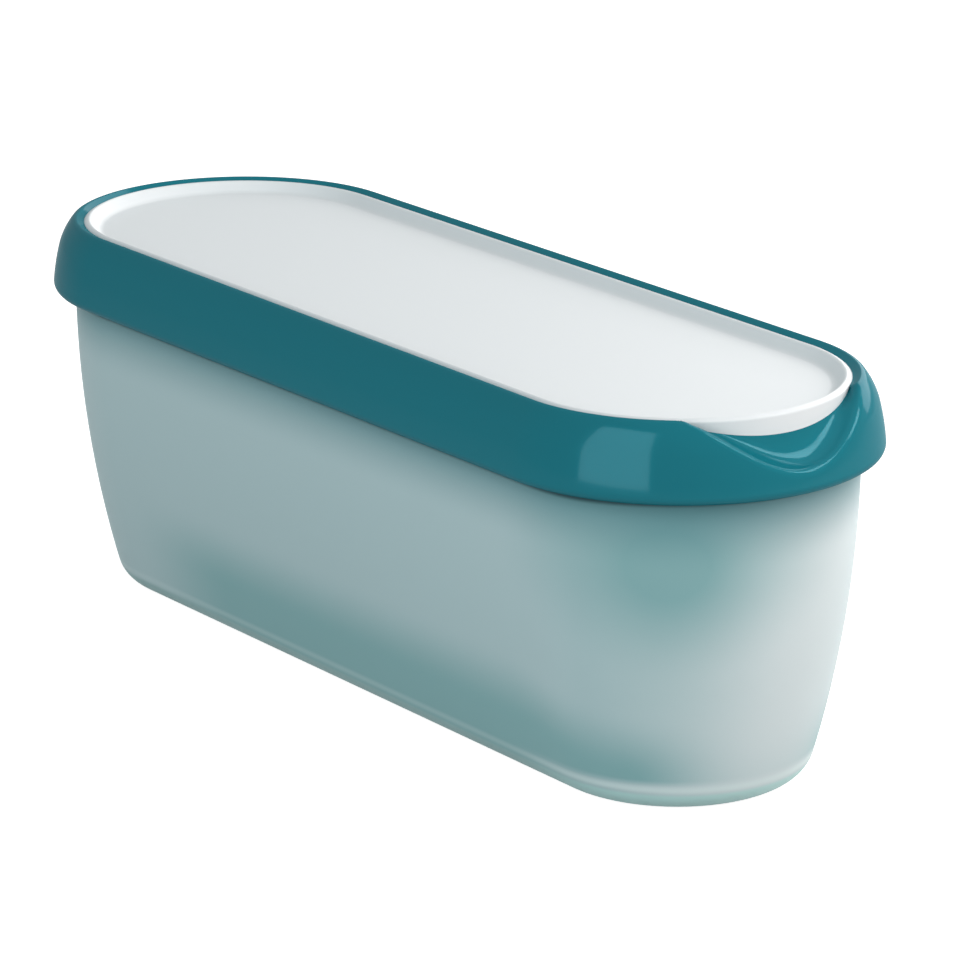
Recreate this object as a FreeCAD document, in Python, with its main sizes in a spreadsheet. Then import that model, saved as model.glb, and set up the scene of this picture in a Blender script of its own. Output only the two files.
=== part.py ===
import FreeCAD, Part
import math
import os

import Sketcher

# Reusable ice cream tub: a long insulated tub with two straight sides and
# two half-round ends, shut by a lid. The lid is a white dished panel with a
# soft rim moulded round it, and the rim has a thumb scoop at the +X end.
#
# Frame: millimetres, +Z up, +X along the tub towards the thumb scoop.
# The origin is the middle of the footprint, on the surface it stands on.
#
# Every outline of the tub is the same path at another offset: two straight
# runs, half_straight long to each side of the middle, and a half turn round
# a vertical axis at each end. So each piece is one cross-section, padded
# along the straight runs and revolved round the ends.

SIZES = [
    ("half_straight", 95.0, "middle of the tub to the axis of an end"),
    # tub_body, radii from the path's centre line and heights from the floor
    ("underside_height", 1.4, "recessed underside inside the foot ring"),
    ("underside_radius", 23.6, "edge of the recessed underside"),
    ("foot_inner_radius", 24.8, "inner edge of the ring that it stands on"),
    ("foot_outer_radius", 26.4, "outer edge of the ring that it stands on"),
    ("foot_round", 8.5, "rounding from the foot ring up into the wall"),
    ("wall_lean", 15.0, "outward lean of the wall where it leaves the foot, degrees"),
    ("wall_top_radius", 44.6, "top of the wall, inside the lid's skirt"),
    ("bead_height", 85.7, "underside of the bead that the skirt snaps over"),
    ("bead_radius", 46.6, "the bead round the top of the wall"),
    ("seat_height", 87.6, "flat top of the wall, where the rim sits"),
    ("mouth_radius", 39.5, "collar of the mouth, inside the rim"),
    ("mouth_height", 95.5, "top of the collar, where the panel sits"),
    # lid_rim
    ("rim_hole_radius", 41.8, "hole in the rim, filled by the panel"),
    ("lip_radius", 42.7, "recess in the rim for the panel's lip"),
    ("lip_height", 100.3, "seat of the panel's lip"),
    ("rim_edge_height", 101.4, "inner edge of the rim, beside the lip"),
    ("rim_top_radius", 43.6, "crown of the rim"),
    ("rim_top_height", 102.0, "crown of the rim"),
    ("shoulder_round", 2.5, "tight rounding beside the crown"),
    ("shoulder_radius", 45.6, "end of the tight rounding"),
    ("shoulder_height", 101.0, "end of the tight rounding"),
    ("flare_top_round", 18.5, "wide rounding below it"),
    ("flare_top_radius", 48.7, "end of the wide rounding"),
    ("flare_top_height", 95.1, "end of the wide rounding"),
    ("flare_round", 60.0, "outward flare of the skirt"),
    ("flare_bottom_radius", 50.5, "widest line of the skirt"),
    ("flare_bottom_height", 84.9, "widest line of the skirt"),
    ("skirt_round", 2.2, "rounded bottom edge of the skirt"),
    ("skirt_bottom_radius", 48.6, "inner end of that rounding"),
    ("skirt_bottom_height", 82.7, "bottom of the skirt"),
    ("skirt_inner_radius", 47.6, "inside of the skirt, clear of the wall"),
    # lid_panel
    ("panel_edge_height", 101.0, "top of the lip's outer side, below its bevel"),
    ("crest_radius", 41.9, "crest of the raised border"),
    ("crest_height", 101.8, "crest of the raised border"),
    ("slope_top_radius", 41.3, "top of the border's inner slope"),
    ("slope_top_height", 101.5, "top of the border's inner slope"),
    ("slope_bottom_radius", 39.2, "bottom of the border's inner slope"),
    ("slope_bottom_height", 99.3, "bottom of the border's inner slope"),
    ("floor_radius", 37.8, "edge of the recessed floor, past a shallow bevel"),
    ("floor_height", 98.7, "recessed floor"),
    # thumb scoop in lid_rim
    ("scoop_half_angle", 42.0, "half of the turn that the scoop covers"),
    ("scoop_clearance", 0.6, "height of the cutter's ends over the crown"),
    ("scoop_inner_depth", 4.6, "depth of the scoop at its inner edge"),
    ("scoop_outer_depth", 13.7, "depth of the scoop at the skirt"),
    ("scoop_inner_spread", 0.6, "exponent that keeps its inner edge broad"),
    ("scoop_inner_radius", 41.2, "inner edge of the cutter, inside the hole"),
    ("scoop_floor_radius", 52.0, "end of the scoop's hollow floor, past the skirt"),
    ("scoop_outer_radius", 54.0, "outer side of the cutter, past the skirt"),
    ("scoop_hollow", 2.2, "how far its floor sags below a straight line"),
    ("scoop_lip_round", 0.7, "rounding of the scoop's outer lip"),
]

# The wall starts tangent to the foot's rounding, and its bow carries on from there.
DERIVED = [
    ("wall_bottom_radius", "foot_outer_radius + foot_round * cos(wall_lean)",
     "end of the foot's rounding"),
    ("wall_bottom_height", "foot_round * (1 - sin(wall_lean))",
     "end of the foot's rounding"),
    ("wall_spread", "wall_top_radius - wall_bottom_radius", "widening of the wall"),
    ("wall_rise", "bead_height - wall_bottom_height", "height of the wall"),
    ("wall_bend", "wall_lean * 1 deg - atan(wall_spread / wall_rise)",
     "half of the wall's turn"),
    ("wall_round", "hypot(wall_spread; wall_rise) / (2 * sin(wall_bend))",
     "radius of the wall's outward bow"),
]
SCOOP_STEPS = 5
LIP_MARGIN = 1.0

doc = FreeCAD.newDocument("ice_cream_tub")
sheet = doc.addObject("Spreadsheet::Sheet", "Sizes")
for row, (alias, content, note) in enumerate(SIZES + DERIVED, start=1):
    sheet.set("A%d" % row, note)
    sheet.set("B%d" % row, str(content) if isinstance(content, float) else "=" + content)
    sheet.setAlias("B%d" % row, alias)
doc.recompute()


def size(alias):
    """Value of a named cell."""
    return float(sheet.get(alias))


def origin_plane(body, role):
    """One of the body's own origin planes."""
    return [plane for plane in body.Origin.OriginFeatures if plane.Role == role][0]


def new_sketch(body, name, role):
    """Empty sketch on one of the body's own origin planes."""
    sketch = body.newObject("Sketcher::SketchObject", name)
    sketch.AttachmentSupport = (origin_plane(body, role), [""])
    sketch.MapMode = "FlatFace"
    return sketch


def bowed_middle(start, end, sag):
    """Middle of an arc from start to end that bows by sag to its right."""
    along = end - start
    right = FreeCAD.Vector(along.y, -along.x, 0).normalize()
    return (start + end) * 0.5 + right * sag


def sag_of(start, end, radius):
    """Height of an arc of this radius over its chord; negative bows left."""
    half = start.distanceToPoint(end) / 2
    return math.copysign(abs(radius) - math.sqrt(radius ** 2 - half ** 2), radius)


def close_outline(sketch, points, sags):
    """Join the points by lines and arcs; return each edge's start and end vertex."""
    ends = []
    for index, start in enumerate(points):
        end = points[(index + 1) % len(points)]
        sag = sags.get(index, 0.0)
        if sag:
            sketch.addGeometry(Part.Arc(start, bowed_middle(start, end, sag), end), False)
        else:
            sketch.addGeometry(Part.LineSegment(start, end), False)
        # an arc that bows to the right of its run is stored start to end
        ends.append((2, 1) if sag < 0 else (1, 2))
    for index in range(len(points)):
        following = (index + 1) % len(points)
        sketch.addConstraint(Sketcher.Constraint(
            "Coincident", index, ends[index][1], following, ends[following][0]))
    return ends


def bound_distance(sketch, kind, geometry, vertex, alias):
    """Hold a vertex at a named distance from the sketch's origin."""
    constraint = Sketcher.Constraint(kind, -1, 1, geometry, vertex, size(alias))
    sketch.setExpression("Constraints[%d]" % sketch.addConstraint(constraint), "Sizes." + alias)


def section_sketch(body, name, role, corners, rounds):
    """Half cross-section. corners: (radius, height) aliases, None on the axis
    or the floor. rounds: edge number to (alias, +1 bows right or -1 left)."""
    sketch = new_sketch(body, name, role)
    points = [FreeCAD.Vector(size(across) if across else 0, size(height) if height else 0, 0)
              for across, height in corners]
    sags = {}
    for edge, (alias, side) in rounds.items():
        sags[edge] = sag_of(points[edge], points[(edge + 1) % len(points)], side * size(alias))
    ends = close_outline(sketch, points, sags)
    for index, (across, height) in enumerate(corners):
        vertex = ends[index][0]
        if across:
            bound_distance(sketch, "DistanceX", index, vertex, across)
        else:
            sketch.addConstraint(Sketcher.Constraint("PointOnObject", index, vertex, -2))
        if height:
            bound_distance(sketch, "DistanceY", index, vertex, height)
        else:
            sketch.addConstraint(Sketcher.Constraint("PointOnObject", index, vertex, -1))
    for edge, (alias, side) in rounds.items():
        number = sketch.addConstraint(Sketcher.Constraint("Radius", edge, size(alias)))
        sketch.setExpression("Constraints[%d]" % number, "Sizes." + alias)
    return sketch


def mirrored(body, name, feature, role):
    """Mirror one feature about one of the body's origin planes."""
    mirror = body.newObject("PartDesign::Mirrored", name)
    mirror.Originals = [feature]
    mirror.MirrorPlane = (origin_plane(body, role), [""])
    body.Tip = mirror
    return mirror


def stadium_body(label, corners, rounds):
    """A cross-section carried along both straight runs and round both ends."""
    body = doc.addObject("PartDesign::Body", label)
    body.Label = label

    side = section_sketch(body, label + "_side", "YZ_Plane", corners, rounds)
    run = body.newObject("PartDesign::Pad", label + "_run")
    run.Profile = side
    run.Midplane = True
    run.setExpression("Length", "2 * Sizes.half_straight")
    doc.recompute()
    mirrored(body, label + "_far_run", run, "XZ_Plane")

    end = section_sketch(body, label + "_end", "XZ_Plane", corners, rounds)
    end.setExpression(".AttachmentOffset.Base.x", "Sizes.half_straight")
    turn = body.newObject("PartDesign::Revolution", label + "_turn")
    turn.Profile = end
    turn.ReferenceAxis = (end, ["V_Axis"])
    turn.Midplane = True
    turn.Angle = 180
    doc.recompute()
    mirrored(body, label + "_far_turn", turn, "YZ_Plane")
    doc.recompute()
    return body


# tub_body: frosted double-walled tub, solid inside because it is shut. The
# wall bows outwards and widens upwards, from a rounded foot to a bead and a
# flat seat; the collar of the mouth stands on the seat.
tub_body = stadium_body("tub_body", [
    (None, "underside_height"),
    ("underside_radius", "underside_height"),
    ("foot_inner_radius", None),
    ("foot_outer_radius", None),
    ("wall_bottom_radius", "wall_bottom_height"),
    ("wall_top_radius", "bead_height"),
    ("bead_radius", "bead_height"),
    ("bead_radius", "seat_height"),
    ("mouth_radius", "seat_height"),
    ("mouth_radius", "mouth_height"),
    (None, "mouth_height"),
], {3: ("foot_round", 1), 4: ("wall_round", 1)})

# lid_panel: stiff white panel. A raised border with a bevelled crest runs all
# round a recessed floor; its lip lies on the rim and its body on the mouth.
lid_panel = stadium_body("lid_panel", [
    (None, "mouth_height"),
    ("rim_hole_radius", "mouth_height"),
    ("rim_hole_radius", "lip_height"),
    ("lip_radius", "lip_height"),
    ("lip_radius", "panel_edge_height"),
    ("crest_radius", "crest_height"),
    ("slope_top_radius", "slope_top_height"),
    ("slope_bottom_radius", "slope_bottom_height"),
    ("floor_radius", "floor_height"),
    (None, "floor_height"),
], {})

# lid_rim: soft rim moulded round the panel, with a crowned top, a flared
# skirt that hangs past the bead, and a cavity that seats on the tub.
lid_rim = stadium_body("lid_rim", [
    ("mouth_radius", "seat_height"),
    ("skirt_inner_radius", "seat_height"),
    ("skirt_inner_radius", "skirt_bottom_height"),
    ("skirt_bottom_radius", "skirt_bottom_height"),
    ("flare_bottom_radius", "flare_bottom_height"),
    ("flare_top_radius", "flare_top_height"),
    ("shoulder_radius", "shoulder_height"),
    ("rim_top_radius", "rim_top_height"),
    ("lip_radius", "rim_edge_height"),
    ("lip_radius", "lip_height"),
    ("rim_hole_radius", "lip_height"),
    ("rim_hole_radius", "mouth_height"),
    ("mouth_radius", "mouth_height"),
], {3: ("skirt_round", 1), 4: ("flare_round", 1), 5: ("flare_top_round", 1),
    6: ("shoulder_round", 1)})


def scoop_share(angle):
    """How deep the scoop is at this angle round the end, from 0 to 1: a raised cosine."""
    return (1 + math.cos(math.pi * angle / size("scoop_half_angle"))) / 2


def scoop_section(number, angle):
    """Cutter's section in the upright plane that stands at this angle round the end."""
    sketch = new_sketch(lid_rim, "scoop_section_%d" % number, "XZ_Plane")
    turn = FreeCAD.Rotation(FreeCAD.Vector(0, 1, 0), -angle)
    sketch.AttachmentOffset = FreeCAD.Placement(
        FreeCAD.Vector(size("half_straight"), 0, 0), turn)
    sketch.setExpression(".AttachmentOffset.Base.x", "Sizes.half_straight")
    share = scoop_share(angle)
    end_height = size("rim_top_height") + size("scoop_clearance")
    inner_share = share ** size("scoop_inner_spread")
    inner = FreeCAD.Vector(size("scoop_inner_radius"),
                           end_height - size("scoop_inner_depth") * inner_share, 0)
    floor_end = FreeCAD.Vector(size("scoop_floor_radius"),
                               end_height - size("scoop_outer_depth") * share, 0)
    outer = FreeCAD.Vector(size("scoop_outer_radius"), floor_end.y, 0)
    top = end_height + 2 * size("scoop_outer_depth")
    points = [inner, floor_end, outer,
              FreeCAD.Vector(outer.x, top, 0), FreeCAD.Vector(inner.x, top, 0)]
    least_sag = 0.1
    close_outline(sketch, points, {0: least_sag + size("scoop_hollow") * share})
    return sketch


# The scoop: a bowl cut into the crown and the skirt at the +X end, deepest
# at the tip, where it bares the panel's wall and lowers the rim to a lip.
sections = []
for step in range(-SCOOP_STEPS, SCOOP_STEPS + 1):
    angle = size("scoop_half_angle") * step / SCOOP_STEPS
    sections.append(scoop_section(step + SCOOP_STEPS, angle))
doc.recompute()
scoop = lid_rim.newObject("PartDesign::SubtractiveLoft", "thumb_scoop")
scoop.Profile = sections[0]
scoop.Sections = sections[1:]
scoop.Ruled = False
lid_rim.Tip = scoop
doc.recompute()


def round_the_end(point):
    """Radius from the +X end's axis, and angle in degrees round it."""
    across = point.x - size("half_straight")
    return math.hypot(across, point.y), math.degrees(math.atan2(point.y, across))


def is_lip(edge):
    """Whether an edge is where the scoop's floor runs out through the rim."""
    radius, angle = round_the_end(edge.valueAt((edge.FirstParameter + edge.LastParameter) / 2))
    height = edge.BoundBox.ZMin
    outside = radius > size("rim_top_radius") + LIP_MARGIN
    return outside and abs(angle) < size("scoop_half_angle") and height > size("seat_height")


lip = lid_rim.newObject("PartDesign::Fillet", "scoop_lip")
lip.Base = (scoop, ["Edge%d" % number for number, edge in enumerate(scoop.Shape.Edges, start=1)
                    if is_lip(edge)])
lip.setExpression("Radius", "Sizes.scoop_lip_round")
lid_rim.Tip = lip
doc.recompute()

SUBPARTS = [tub_body, lid_rim, lid_panel]
for thing in doc.Objects:
    if "Invalid" in thing.State or "Error" in thing.State:
        raise RuntimeError("%s failed: %s" % (thing.Name, thing.State))
for body in SUBPARTS:
    if body.Shape.isNull() or not body.Shape.isValid() or len(body.Shape.Solids) != 1:
        raise RuntimeError("%s has no valid single solid" % body.Label)

os.makedirs("parts", exist_ok=True)
for body in SUBPARTS:
    body.Shape.exportStep("parts/%s.step" % body.Label)
    box = body.Shape.BoundBox
    print(body.Label, "volume", round(body.Shape.Volume), "mm3, size",
          round(box.XLength, 1), round(box.YLength, 1), round(box.ZLength, 1))
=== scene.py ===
import math

import bpy
import numpy as np
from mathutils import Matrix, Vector


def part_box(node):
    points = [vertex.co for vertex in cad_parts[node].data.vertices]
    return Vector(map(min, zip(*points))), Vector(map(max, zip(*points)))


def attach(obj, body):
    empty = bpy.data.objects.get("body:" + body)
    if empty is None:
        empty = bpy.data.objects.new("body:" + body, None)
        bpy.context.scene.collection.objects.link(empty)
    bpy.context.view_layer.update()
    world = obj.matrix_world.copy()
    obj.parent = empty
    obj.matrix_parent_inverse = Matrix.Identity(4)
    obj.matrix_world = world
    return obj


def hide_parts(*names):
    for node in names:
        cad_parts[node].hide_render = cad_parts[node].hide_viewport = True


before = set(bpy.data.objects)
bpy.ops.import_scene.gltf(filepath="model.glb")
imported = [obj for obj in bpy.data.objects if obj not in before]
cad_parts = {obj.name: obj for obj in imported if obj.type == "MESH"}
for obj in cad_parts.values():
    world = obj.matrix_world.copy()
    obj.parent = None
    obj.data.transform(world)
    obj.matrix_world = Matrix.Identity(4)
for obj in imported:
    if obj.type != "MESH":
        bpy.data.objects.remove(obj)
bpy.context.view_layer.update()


# ---------------------------------------------------------------------------
# The tub: a long double-walled polypropylene tub, injection moulded with a
# frosted outer wall. Its walls bow outwards and widen upwards from a rounded
# foot. Every outline round it is two straight runs and two half turns.
MM = 0.001
rim_low, rim_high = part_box("lid_rim")
tub_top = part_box("tub_body")[1].z / MM
RIM_RADIUS = rim_high.y / MM
HALF_STRAIGHT = rim_high.x / MM - RIM_RADIUS

# The points of a section are (radius, height) in millimetres.
UNDERSIDE = (23.6, 1.4)
FOOT_INNER, FOOT_OUTER = (24.8, 0.0), (26.4, 0.0)
FOOT_ROUND = 8.5
WALL_LEAN = math.radians(15)
WALL_BOTTOM = (FOOT_OUTER[0] + FOOT_ROUND * math.cos(WALL_LEAN),
               FOOT_ROUND * (1 - math.sin(WALL_LEAN)))
BEAD_HEIGHT, SEAT_HEIGHT = 85.7, 87.6
WALL_TOP = (44.6, BEAD_HEIGHT)
BEAD_BOTTOM, BEAD_TOP = (46.6, BEAD_HEIGHT), (46.6, SEAT_HEIGHT)
SEAT_INNER = (39.5, SEAT_HEIGHT)
MOUTH = (39.5, tub_top)

# The wall is one arc that leaves the foot at its lean and ends at the bead.
spread, rise = WALL_TOP[0] - WALL_BOTTOM[0], WALL_TOP[1] - WALL_BOTTOM[1]
bend = WALL_LEAN - math.atan(spread / rise)
WALL_ROUND = math.hypot(spread, rise) / (2 * math.sin(bend))


def arc(start, end, radius, steps):
    """Points from start to end on a circle that bows to the right of the run,
    or to its left where the radius is negative; the start is included and the
    end is not. The centre lies on the chord's perpendicular bisector."""
    start, end = np.array(start, float), np.array(end, float)
    half_chord = np.linalg.norm(end - start) / 2
    along = (end - start) / (2 * half_chord)
    left = np.array([-along[1], along[0]])
    reach = math.sqrt(radius ** 2 - half_chord ** 2)
    side = math.copysign(1.0, radius)
    centre = (start + end) / 2 + left * reach * side
    half_turn = math.asin(half_chord / abs(radius))
    turn = np.linspace(-half_turn, half_turn, steps, endpoint=False)[:, None]
    outward = -left * side
    return centre + abs(radius) * (np.cos(turn) * outward + np.sin(turn) * along)


def line(start, end, steps):
    """Evenly spaced points from start to end, without the end."""
    share = np.linspace(0, 1, steps, endpoint=False)[:, None]
    return np.array(start, float) * (1 - share) + np.array(end, float) * share


def outline(end_steps, run_steps):
    """Path round the tub: for each station, the x of the axis that it turns
    about and its angle round that axis, from -90 degrees at the +X end."""
    turn = np.linspace(-90, 90, end_steps, endpoint=False)
    run = np.linspace(HALF_STRAIGHT, -HALF_STRAIGHT, run_steps, endpoint=False)
    axis = np.concatenate([np.full(end_steps, HALF_STRAIGHT), run,
                           np.full(end_steps, -HALF_STRAIGHT), -run])
    angle = np.concatenate([turn, np.full(run_steps, 90.0),
                            turn + 180, np.full(run_steps, 270.0)])
    return axis, np.radians(angle)


def carried(section, path):
    """Carry a section round the path: each point stands at its own radius from
    the station's axis. section is (points, 2) or (stations, points, 2)."""
    axis, angle = path
    radius, height = np.broadcast_to(section, (len(axis),) + section.shape[-2:]).T
    points = [axis + radius * np.cos(angle), radius * np.sin(angle), height]
    return np.stack(points, -1).swapaxes(0, 1)


def grid_piece(name, points, ring, crease_degrees):
    """Mesh from a (stations, points, 3) grid in millimetres, closed round the
    stations. A ring is closed along its points too; any other section starts
    and ends at a flat cap."""
    stations, count = points.shape[:2]
    number = np.arange(stations * count).reshape(stations, count)
    onward = np.roll(number, -1, axis=0)
    if ring:
        here, there = number, onward
        here_next, there_next = np.roll(number, -1, axis=1), np.roll(onward, -1, axis=1)
    else:
        here, there = number[:, :-1], onward[:, :-1]
        here_next, there_next = number[:, 1:], onward[:, 1:]
    faces = np.stack([here, there, there_next, here_next], -1).reshape(-1, 4).tolist()
    if not ring:
        faces += [number[::-1, 0].tolist(), number[:, -1].tolist()]
    mesh = bpy.data.meshes.new(name)
    mesh.from_pydata((points.reshape(-1, 3) * MM).tolist(), [], faces)
    mesh.update()
    mesh.polygons.foreach_set("use_smooth", np.ones(len(faces), bool))
    mesh.set_sharp_from_angle(angle=math.radians(crease_degrees))
    piece = bpy.data.objects.new(name, mesh)
    bpy.context.scene.collection.objects.link(piece)
    return piece


def linear(code):
    """Linear colour of an sRGB hex value: each channel is divided by 12.92 near
    black, and is raised to the power of 2.4 above it."""
    channels = [int(code[at:at + 2], 16) / 255 for at in (1, 3, 5)]
    return [c / 12.92 if c <= 0.04045 else ((c + 0.055) / 1.055) ** 2.4
            for c in channels] + [1.0]


def new_material(name):
    """Node material with its tree and its Principled shader, already linked."""
    material = bpy.data.materials.new(name)
    material.use_nodes = True
    tree = material.node_tree
    return material, tree, tree.nodes["Principled BSDF"]


def add_node(tree, kind, settings=(), **inputs):
    """Add a node; set its properties from pairs, and its inputs with a socket
    to link or a plain value. An input goes by its name, with _ for a space, or
    by its number after a _."""
    node = tree.nodes.new(kind)
    for key, value in settings:
        setattr(node, key, value)
    for key, value in inputs.items():
        socket = node.inputs[int(key[1:]) if key[1:].isdigit() else key.replace("_", " ")]
        if isinstance(value, bpy.types.NodeSocket):
            tree.links.new(value, socket)
        else:
            socket.default_value = value
    return node


tub_section = np.concatenate([
    line(UNDERSIDE, FOOT_INNER, 4),
    line(FOOT_INNER, FOOT_OUTER, 3),
    arc(FOOT_OUTER, WALL_BOTTOM, FOOT_ROUND, 24),
    arc(WALL_BOTTOM, WALL_TOP, WALL_ROUND, 48),
    line(WALL_TOP, BEAD_BOTTOM, 2),
    line(BEAD_BOTTOM, BEAD_TOP, 2),
    line(BEAD_TOP, SEAT_INNER, 3),
    [SEAT_INNER, MOUTH],
])
tub_path = outline(end_steps=96, run_steps=16)
tub = grid_piece("frosted_tub", carried(tub_section, tub_path), ring=False, crease_degrees=30)

# Frosted polypropylene: the milky outer wall scatters light, so it looks soft
# and matt. Its colour is painted deeper with shade: above the foot, where the
# shade of the inner tub's base shows through, and under the skirt and beside the
# scoop end, where the lid's shadow falls. The scoop end itself is painted paler
# with the light that the lamps at that end shine through the wall.
MILKY, END_PAINTED_LIGHT = linear("#a2babe"), linear("#bfced1")
PAINTED_SHADE, SKIRT_SHADOW_COLOUR, GAP_DARK = linear("#79a2a5"), linear("#3c747c"), linear("#0d3b42")
FOOT_SHADE_SIDE, FOOT_LIGHT_END, LINE_HIGHLIGHT = linear("#88aaab"), linear("#aacfce"), linear("#c4d6d7")

# Places along the tub, heights and reaches are in millimetres. At its CLEAR
# place a change of colour has not begun, and at its FULL place it is whole.
# The painted light that makes the scoop end paler: where it starts and where it is full.
END_CLEAR, END_FULL = 106.0, 136.0
# The band of painted shade above the foot: where it starts and is full, how its top sinks, how it
# fades at the sides and opens out low at the scoop end.
BAND_CLEAR, BAND_FULL = 35.0, 16.0
BAND_SINK, SINK_CLEAR, SINK_FULL = 7.0, 80.0, 118.0
PLAIN_SIDE_CLEAR, PLAIN_SIDE_FULL = -95.0, -45.0
SCOOP_SIDE_CLEAR, SCOOP_SIDE_FULL = 135.0, 114.0
OPEN_CLEAR, OPEN_FULL = 70.0, 118.0
UNDER_LINE_CLEAR, UNDER_LINE_FULL = 9.5, 7.2
# Heights of the painted shadow under the skirt, the painted deep shade in its gap, the foot's
# painted shade and the painted highlight line along the foot.
SKIRT_SHADOW_CLEAR, SKIRT_SHADOW_CLEAR_END, SKIRT_SHADOW_FULL = 65.0, 63.0, 87.0
GAP_CLEAR, GAP_FULL, GAP_LIFT = 79.8, 81.0, 0.9
FOOT_CLEAR, FOOT_FULL = 5.8, 4.4
LINE_HEIGHT, LINE_REACH = 6.6, 1.5
LINE_SHARE_SIDE, LINE_SHARE_END = 0.25, 0.75

# Each patch of painted shadow from the lid: its middle, its reach, how much
# flatter than a ball it is, and how deep its painted shade is in its middle. The
# second is tall and fades below the first.
SHADOW_PATCHES = (((128.0, -29.0, 69.0), 52.0, 1.5, 1.0),
           ((127.0, -28.0, 42.0), 32.0, 0.7, 0.35))

SMOOTH, COLOURS = (("interpolation_type", "SMOOTHSTEP"),), (("data_type", "RGBA"),)
TIMES, PLUS, MINUS, LARGER, UNSIGNED, APART = (
    (("operation", name),)
    for name in ("MULTIPLY", "ADD", "SUBTRACT", "MAXIMUM", "ABSOLUTE", "DISTANCE"))

frosted, tree, shader = new_material("frosted_polypropylene")
place = add_node(tree, "ShaderNodeTexCoord").outputs["Object"]
split = add_node(tree, "ShaderNodeSeparateXYZ", Vector=place).outputs
x, z = split["X"], split["Z"]

# The band of painted shade above the foot: its top sinks towards the scoop
# end, and it fades out at both ends.
sink = add_node(tree, "ShaderNodeMapRange", SMOOTH, Value=x,
                From_Min=SINK_CLEAR * MM, From_Max=SINK_FULL * MM, To_Max=BAND_SINK * MM)
raised = add_node(tree, "ShaderNodeMath", PLUS, _0=z, _1=sink.outputs[0])
low = add_node(tree, "ShaderNodeMapRange", SMOOTH, Value=raised.outputs[0],
               From_Min=BAND_CLEAR * MM, From_Max=BAND_FULL * MM)
starting = add_node(tree, "ShaderNodeMapRange", SMOOTH, Value=x,
                    From_Min=PLAIN_SIDE_CLEAR * MM, From_Max=PLAIN_SIDE_FULL * MM,
                    To_Max=low.outputs[0])
ending = add_node(tree, "ShaderNodeMapRange", SMOOTH, Value=x,
                  From_Min=SCOOP_SIDE_CLEAR * MM, From_Max=SCOOP_SIDE_FULL * MM,
                  To_Max=starting.outputs[0])

# Below a line along the foot the band opens out again towards the scoop end.
opened = add_node(tree, "ShaderNodeMapRange", SMOOTH, Value=x,
                  From_Min=OPEN_CLEAR * MM, From_Max=OPEN_FULL * MM)
under_line = add_node(tree, "ShaderNodeMapRange", SMOOTH, Value=z,
                      From_Min=UNDER_LINE_CLEAR * MM, From_Max=UNDER_LINE_FULL * MM)
open_share = add_node(tree, "ShaderNodeMath", TIMES, _0=opened.outputs[0], _1=under_line.outputs[0])
left_share = add_node(tree, "ShaderNodeMath", MINUS, _0=1.0, _1=open_share.outputs[0])
band = add_node(tree, "ShaderNodeMath", TIMES, _0=ending.outputs[0], _1=left_share.outputs[0])

# Each painted shadow patch is full in its middle and gone at its reach.
shadow_patches = []
for middle, reach, flatness, depth in SHADOW_PATCHES:
    flattened = add_node(tree, "ShaderNodeVectorMath", TIMES, _0=place, _1=(1, 1, flatness))
    flat_middle = [middle[0] * MM, middle[1] * MM, middle[2] * MM * flatness]
    off = add_node(tree, "ShaderNodeVectorMath", APART, _0=flattened.outputs[0], _1=flat_middle)
    shadow_patches.append(add_node(tree, "ShaderNodeMapRange", SMOOTH, Value=off.outputs["Value"],
                            From_Min=reach * MM, From_Max=0.0, To_Max=depth))
deeper = add_node(tree, "ShaderNodeMath", LARGER, _0=band.outputs[0], _1=shadow_patches[0].outputs[0])
painted_shade_share = add_node(tree, "ShaderNodeMath", PLUS, _0=deeper.outputs[0], _1=shadow_patches[1].outputs[0])

# The wall's colour: milky, painted paler at the scoop end as painted light, with
# the painted shade of the deeper places and the painted shadow under the skirt
# laid over it.
end_light_share = add_node(tree, "ShaderNodeMapRange", SMOOTH, Value=x,
                     From_Min=END_CLEAR * MM, From_Max=END_FULL * MM)
milky = add_node(tree, "ShaderNodeMix", COLOURS, _0=end_light_share.outputs[0], _6=MILKY, _7=END_PAINTED_LIGHT)
shade_painted = add_node(tree, "ShaderNodeMix", COLOURS, _0=painted_shade_share.outputs[0],
                    _6=milky.outputs[2], _7=PAINTED_SHADE)
# Painted shadow under the skirt; it starts a little lower towards the scoop end.
skirt_shadow_clear = add_node(tree, "ShaderNodeMapRange", SMOOTH, Value=x,
                        From_Min=END_CLEAR * MM, From_Max=END_FULL * MM,
                        To_Min=SKIRT_SHADOW_CLEAR * MM, To_Max=SKIRT_SHADOW_CLEAR_END * MM)
skirt_shadow = add_node(tree, "ShaderNodeMapRange", SMOOTH, Value=z,
                  From_Min=skirt_shadow_clear.outputs[0], From_Max=SKIRT_SHADOW_FULL * MM)
shaded = add_node(tree, "ShaderNodeMix", COLOURS, _0=skirt_shadow.outputs[0],
                  _6=shade_painted.outputs[2], _7=SKIRT_SHADOW_COLOUR)

# The painted deep shade in the gap under the skirt, the foot's painted shade
# near the floor, painted paler with light at the scoop end, and the painted
# highlight where the wall turns into the foot.
gap_lift = add_node(tree, "ShaderNodeMapRange", SMOOTH, Value=x,
                    From_Min=END_CLEAR * MM, From_Max=END_FULL * MM, To_Max=GAP_LIFT * MM)
gap_height = add_node(tree, "ShaderNodeMath", MINUS, _0=z, _1=gap_lift.outputs[0])
gap = add_node(tree, "ShaderNodeMapRange", SMOOTH, Value=gap_height.outputs[0],
               From_Min=GAP_CLEAR * MM, From_Max=GAP_FULL * MM)
gapped = add_node(tree, "ShaderNodeMix", COLOURS, _0=gap.outputs[0],
                  _6=shaded.outputs[2], _7=GAP_DARK)
low_foot = add_node(tree, "ShaderNodeMapRange", SMOOTH, Value=z,
                    From_Min=FOOT_CLEAR * MM, From_Max=FOOT_FULL * MM)
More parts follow.
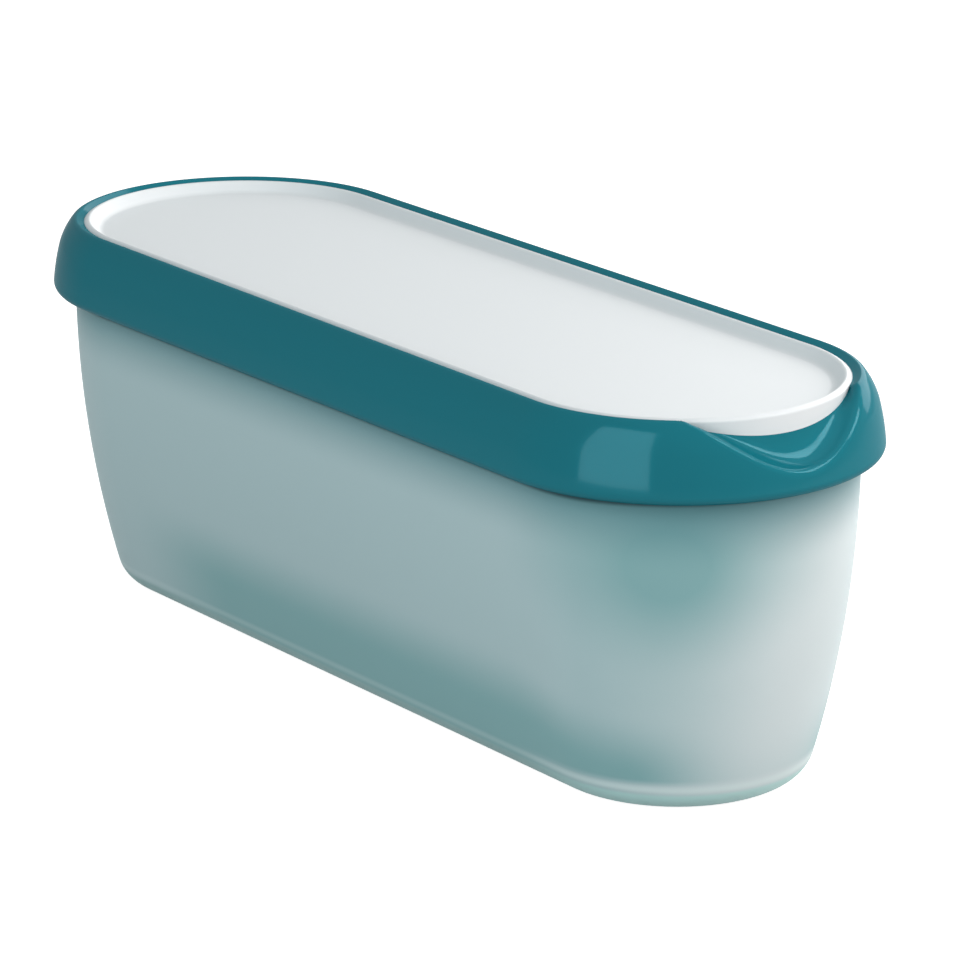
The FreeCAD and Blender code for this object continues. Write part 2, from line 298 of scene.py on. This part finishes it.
foot_shade_and_light = add_node(tree, "ShaderNodeMix", COLOURS, _0=opened.outputs[0],
                       _6=FOOT_SHADE_SIDE, _7=FOOT_LIGHT_END)
footed = add_node(tree, "ShaderNodeMix", COLOURS, _0=low_foot.outputs[0],
                  _6=gapped.outputs[2], _7=foot_shade_and_light.outputs[2])
# Painted highlight: a pale line along the round where the wall turns into the foot, stronger
# towards the scoop end.
over_line = add_node(tree, "ShaderNodeMath", MINUS, _0=z, _1=LINE_HEIGHT * MM)
off_line = add_node(tree, "ShaderNodeMath", UNSIGNED, _0=over_line.outputs[0])
line_share = add_node(tree, "ShaderNodeMapRange", SMOOTH, Value=x,
                      From_Min=OPEN_CLEAR * MM, From_Max=OPEN_FULL * MM,
                      To_Min=LINE_SHARE_SIDE, To_Max=LINE_SHARE_END)
highlight_line = add_node(tree, "ShaderNodeMapRange", SMOOTH, Value=off_line.outputs[0],
                     From_Min=LINE_REACH * MM, From_Max=0.0, To_Max=line_share.outputs[0])
lined = add_node(tree, "ShaderNodeMix", COLOURS, _0=highlight_line.outputs[0],
                 _6=footed.outputs[2], _7=LINE_HIGHLIGHT)
tree.links.new(lined.outputs[2], shader.inputs["Base Color"])
shader.inputs["Roughness"].default_value = 0.55
shader.inputs["Specular IOR Level"].default_value = 0.25
tub.data.materials.append(frosted)
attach(tub, "root")
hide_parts("tub_body")


# ---------------------------------------------------------------------------
# The rim of the lid: soft thermoplastic rubber moulded round the panel. Its
# crown falls to a flared skirt that hangs past the tub's bead, and at the +X
# end a thumb scoop bares the panel's side and dips to a rounded lip.
RIM_EDGE = (42.0, 100.9)
CROWN = (44.0, rim_high.z / MM)
SHOULDER, SHOULDER_ROUND = (45.6, 101.0), 2.3
FLARE_TOP, FLARE_TOP_ROUND = (48.7, 95.1), 18.5
FLARE_BOTTOM, FLARE_ROUND = (RIM_RADIUS, 84.9), 60.0
SKIRT_BOTTOM, SKIRT_ROUND = (48.6, rim_low.z / MM), 2.2
SKIRT_INNER_RADIUS = 47.6

# The scoop's lip comes down from just over the crown, which it cuts at an
# angle. The panel's side is bared deepest in the middle of the scoop.
SCOOP_HALF_ANGLE = 42.0
LIP_OVER_CROWN, LIP_DEPTH = 0.6, 13.6
BARED_LOW, BARED_GAIN, BARED_HIGH = 96.2, 3.8, 100.3
BARED_HALF_ANGLE, CLOSING_ANGLE = 36.5, 2.5
OFF_THE_END = 180.0

# The scoop's floor leans out and drops from the panel's side, hollows, and runs
# flat to the lip, whose round starts a little before it and ends as far past it.
SCOOP_LEAN, SCOOP_DROP = 0.10, 0.60
SCOOP_FLAT, SCOOP_HOLLOW, HOLLOW_AT_LIP = 0.50, 0.6, 0.35
LIP_SETBACK, SETBACK_SHARE = 1.9, 0.35
LEAST_LENGTH, ROUNDING_ERROR = 0.01, 1e-9

rim_curve = np.concatenate([
    line(RIM_EDGE, CROWN, 20),
    arc(CROWN, SHOULDER, -SHOULDER_ROUND, 60),
    arc(SHOULDER, FLARE_TOP, -FLARE_TOP_ROUND, 90),
    arc(FLARE_TOP, FLARE_BOTTOM, -FLARE_ROUND, 90),
    arc(FLARE_BOTTOM, SKIRT_BOTTOM, -SKIRT_ROUND, 60),
    [SKIRT_BOTTOM],
])


def lengths(points):
    """Length along a polyline, from 0 at its first point: the running sum of
    the distances between neighbours."""
    steps = np.linalg.norm(np.diff(points, axis=0), axis=1)
    return np.concatenate([[0.0], np.cumsum(steps)])


def at_length(points, wanted):
    """Points of a polyline at the wanted lengths, which may have any shape."""
    along = lengths(points)
    return np.stack([np.interp(wanted, along, points[:, axis]) for axis in (0, 1)], -1)


def bezier(controls, share):
    """Bernstein sum of 3 or 4 control points, each (stations, 2), at each share."""
    share = share[..., None]
    degree = len(controls) - 1
    return sum(math.comb(degree, i) * (1 - share) ** (degree - i) * share ** i * point[:, None, :]
               for i, point in enumerate(controls))


def eased(share):
    """Smooth step from 0 to 1: three times the square less twice the cube."""
    share = np.clip(share, 0, 1)
    return share * share * (3 - 2 * share)


def rim_sections(path, floor_steps, lip_steps, skirt_steps):
    """One closed section for each station. The scoop's floor is a cubic from
    the panel's side to the lip, whose height is a raised cosine of the angle
    round the end; a parabola rounds the lip into the flared skirt."""
    axis, angle = path
    on_end = (axis == HALF_STRAIGHT) & (np.cos(angle) > -ROUNDING_ERROR)
    turn = np.abs(np.where(on_end, np.degrees(angle), OFF_THE_END))

    share = (1 + np.cos(np.pi * np.minimum(turn / SCOOP_HALF_ANGLE, 1))) / 2
    lip_height = CROWN[1] + LIP_OVER_CROWN - LIP_DEPTH * share
    along = lengths(rim_curve)
    falling = slice(np.argmax(rim_curve[:, 1]), None)
    lip_at = np.interp(-lip_height, -rim_curve[falling, 1], along[falling])
    closing = eased((turn - BARED_HALF_ANGLE) / CLOSING_ANGLE)
    lip_at = lip_at * (1 - closing)
    lip = at_length(rim_curve, lip_at)

    wall_height = BARED_LOW + BARED_GAIN * (turn / BARED_HALF_ANGLE) ** 2
    wall_height = np.minimum(wall_height, BARED_HIGH)
    start = np.stack([np.full_like(turn, RIM_EDGE[0]), wall_height], -1)
    across = lip[:, 0] - start[:, 0]
    drop = np.maximum(start[:, 1] - lip[:, 1], 0)
    hollow = SCOOP_HOLLOW * (1 - closing)
    steep = start + np.stack([SCOOP_LEAN * across, -SCOOP_DROP * drop - hollow], -1)
    flat = lip + np.stack([-SCOOP_FLAT * across, -HOLLOW_AT_LIP * hollow], -1)

    reach = np.linalg.norm(lip - start, axis=1)
    setback = np.minimum(LIP_SETBACK, SETBACK_SHARE * np.minimum(reach, lip_at + LEAST_LENGTH))
    floor_share = np.linspace(0, 1, floor_steps) * (1 - setback / reach)[:, None]
    floor = bezier([start, steep, flat, lip], floor_share)
    skirt_start = (lip_at + setback)[:, None]
    skirt_share = np.linspace(0, 1, skirt_steps)
    skirt = at_length(rim_curve, skirt_start + (along[-1] - skirt_start) * skirt_share)
    lip_share = np.broadcast_to(np.linspace(0, 1, lip_steps + 2)[1:-1], (len(turn), lip_steps))
    rounded = bezier([floor[:, -1], lip, skirt[:, 0]], lip_share)

    inside = np.array([(SKIRT_INNER_RADIUS, SKIRT_BOTTOM[1]), (SKIRT_INNER_RADIUS, SEAT_HEIGHT),
                       SEAT_INNER, MOUTH, (RIM_EDGE[0], MOUTH[1])])
    inside = np.broadcast_to(inside, (len(turn),) + inside.shape)
    return np.concatenate([floor, rounded, skirt, inside], axis=1)


rim_path = outline(end_steps=240, run_steps=16)
sections = rim_sections(rim_path, floor_steps=26, lip_steps=9, skirt_steps=64)
rim = grid_piece("soft_rim", carried(sections, rim_path), ring=True, crease_degrees=40)

# Thermoplastic rubber, moulded smooth: a small metallic share tints its gloss
# with the rubber's own teal, and a thin coat gives the soft clear shine that
# runs along the lip of the scoop.
rubber, tree, shader = new_material("thermoplastic_rubber")
shader.inputs["Base Color"].default_value = linear("#136976")
shader.inputs["Metallic"].default_value = 0.08
shader.inputs["Roughness"].default_value = 0.14
shader.inputs["Specular IOR Level"].default_value = 0.0
shader.inputs["Specular Tint"].default_value = linear("#5fb4bf")
shader.inputs["Coat Weight"].default_value = 0.16
shader.inputs["Coat Roughness"].default_value = 0.08
rim.data.materials.append(rubber)
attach(rim, "root")
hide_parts("lid_rim")


# ---------------------------------------------------------------------------
# The panel of the lid: stiff white polypropylene, moulded as a shallow dish.
# A border with a rounded crest runs all round a recessed floor, and its side
# shows in the scoop. The floor is bare.
CREST, EDGE_ROUND = (40.7, 101.6), 3.0
SLOPE_TOP, CREST_ROUND = (39.8, 101.0), 1.4
SLOPE_BOTTOM = (38.4, 99.4)
DISH_EDGE, DISH_ROUND = (36.6, 98.7), 2.6
DISH_INNER = (30.6, 98.7)

panel_section = np.concatenate([
    line((RIM_EDGE[0], MOUTH[1]), RIM_EDGE, 12),
    arc(RIM_EDGE, CREST, EDGE_ROUND, 12),
    arc(CREST, SLOPE_TOP, CREST_ROUND, 8),
    line(SLOPE_TOP, SLOPE_BOTTOM, 6),
    arc(SLOPE_BOTTOM, DISH_EDGE, -DISH_ROUND, 12),
    line(DISH_EDGE, DISH_INNER, 4),
    [DISH_INNER],
])
panel_path = outline(end_steps=128, run_steps=16)
panel = grid_piece("lid_panel_white", carried(panel_section, panel_path),
                   ring=False, crease_degrees=50)

# White polypropylene: a satin moulded skin, so that the dish shades softly.
white, tree, shader = new_material("white_polypropylene")
shader.inputs["Base Color"].default_value = linear("#ccd4d7")
shader.inputs["Roughness"].default_value = 0.5
shader.inputs["Specular IOR Level"].default_value = 0.3
panel.data.materials.append(white)
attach(panel, "root")
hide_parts("lid_panel")


# ---------------------------------------------------------------------------
# The studio, in metres: a pale paper floor, soft windows in front and behind,
# a broad fill and a small pane at the scoop end, a weak light overhead and an
# even white room.
FLOOR_SIZE, FLOOR_GAP = 6.0, 0.0002
FLOOR_GLOW, ROOM_LIGHT, SEEN_WHITE = 0.9, 0.14, 1.0

bpy.ops.mesh.primitive_plane_add(size=FLOOR_SIZE, location=(0, 0, -FLOOR_GAP))
floor = bpy.context.object
floor.name = "studio_floor"

# Matt white paper: it keeps the tub's soft shadow, and its glow, which only
# the camera and reflections see, lifts it to the white of the room.
paper, tree, shader = new_material("white_paper")
shader.inputs["Base Color"].default_value = linear("#b3b3b3")
shader.inputs["Roughness"].default_value = 0.9
shader.inputs["Specular IOR Level"].default_value = 0.0


def seen_share(tree, strength):
    """Strength for rays from the camera, in reflections and through glass, and
    0 for the rest: the largest of the three times the strength."""
    kind = add_node(tree, "ShaderNodeLightPath").outputs
    direct = add_node(tree, "ShaderNodeMath", LARGER,
                      _0=kind["Is Camera Ray"], _1=kind["Is Glossy Ray"])
    seen = add_node(tree, "ShaderNodeMath", LARGER,
                    _0=direct.outputs[0], _1=kind["Is Transmission Ray"])
    return add_node(tree, "ShaderNodeMath", TIMES, _0=seen.outputs[0], _1=strength).outputs[0]


floor_glow = add_node(tree, "ShaderNodeEmission", Strength=seen_share(tree, FLOOR_GLOW))
both = add_node(tree, "ShaderNodeAddShader",
                _0=shader.outputs["BSDF"], _1=floor_glow.outputs["Emission"])
tree.links.new(both.outputs["Shader"], tree.nodes["Material Output"].inputs["Surface"])
floor.data.materials.append(paper)

world = bpy.data.worlds.new("studio")
bpy.context.scene.world = world
world.use_nodes = True
tree = world.node_tree
room = tree.nodes["Background"]
room.inputs["Color"].default_value = linear("#ffffff")
room.inputs["Strength"].default_value = ROOM_LIGHT
seen = add_node(tree, "ShaderNodeBackground", Color=linear("#ffffff"), Strength=SEEN_WHITE)
choice = add_node(tree, "ShaderNodeMixShader", _0=seen_share(tree, SEEN_WHITE),
                  _1=room.outputs["Background"], _2=seen.outputs["Background"])
tree.links.new(choice.outputs["Shader"], tree.nodes["World Output"].inputs["Surface"])


def softbox(name, azimuth, distance, height, tilt, size, glow, colour):
    """Area light whose middle stands at an azimuth in degrees round +Z from +X
    and at a height. It faces the tub's upright axis when its tilt is 90
    degrees, and straight down at 0. Its power is the glow of its face, as
    radiance, times pi times its area."""
    lamp = bpy.data.lights.new(name, "AREA")
    lamp.shape = "RECTANGLE"
    lamp.size, lamp.size_y = size
    lamp.energy = glow * math.pi * size[0] * size[1]
    lamp.color = colour
    light = bpy.data.objects.new(name, lamp)
    turn = math.radians(azimuth)
    light.location = (distance * math.cos(turn), distance * math.sin(turn), height)
    light.rotation_euler = (math.radians(tilt), 0, turn + math.radians(90))
    bpy.context.scene.collection.objects.link(light)
    return light


softbox("front window", azimuth=-69, distance=1.3, height=0.75, tilt=90, size=(0.90, 1.5),
        glow=4.0, colour=(0.96, 1.0, 1.0))
softbox("back window", azimuth=112, distance=1.2, height=0.7, tilt=90, size=(1.0, 1.2),
        glow=3.6, colour=(1.0, 0.98, 0.97))
end_fill = softbox("end fill", azimuth=34, distance=0.8, height=0.42, tilt=90, size=(0.80, 0.75),
                   glow=3.8, colour=(1.0, 0.90, 0.87))
end_fill.visible_glossy = False
softbox("end pane", azimuth=54, distance=0.6, height=0.75, tilt=45, size=(0.25, 0.35),
        glow=10.0, colour=(1.0, 0.94, 0.92))
softbox("overhead", azimuth=80, distance=0.5, height=1.3, tilt=20, size=(1.0, 1.0),
        glow=0.4, colour=(1.0, 1.0, 1.0))

# The camera looks down at the tub's long side and scoop end, far enough off
# for a flat perspective. It aims a little to the right of a target in the tub,
# and below it.
AZIMUTH, ELEVATION = math.radians(54.04), math.radians(16.86)
TARGET_HEIGHT, DISTANCE, LENS, NEAREST = 0.05593, 1.282, 186.1, 0.1
AIM_RIGHT, AIM_DOWN = 0.00865, 0.00524
target = Vector((0, 0, TARGET_HEIGHT))
back = Vector((math.sin(AZIMUTH) * math.cos(ELEVATION),
               -math.cos(AZIMUTH) * math.cos(ELEVATION), math.sin(ELEVATION)))
right = Vector((math.cos(AZIMUTH), math.sin(AZIMUTH), 0))
up = back.cross(right)
camera = bpy.data.objects.new("camera", bpy.data.cameras.new("camera"))
camera.data.lens = LENS
camera.data.clip_start = NEAREST
camera.location = target + back * DISTANCE
gaze = target + right * AIM_RIGHT - up * AIM_DOWN - camera.location
camera.rotation_euler = gaze.to_track_quat("-Z", "Y").to_euler()
bpy.context.scene.collection.objects.link(camera)
bpy.context.scene.camera = camera

bpy.context.scene.view_settings.view_transform = "Standard"
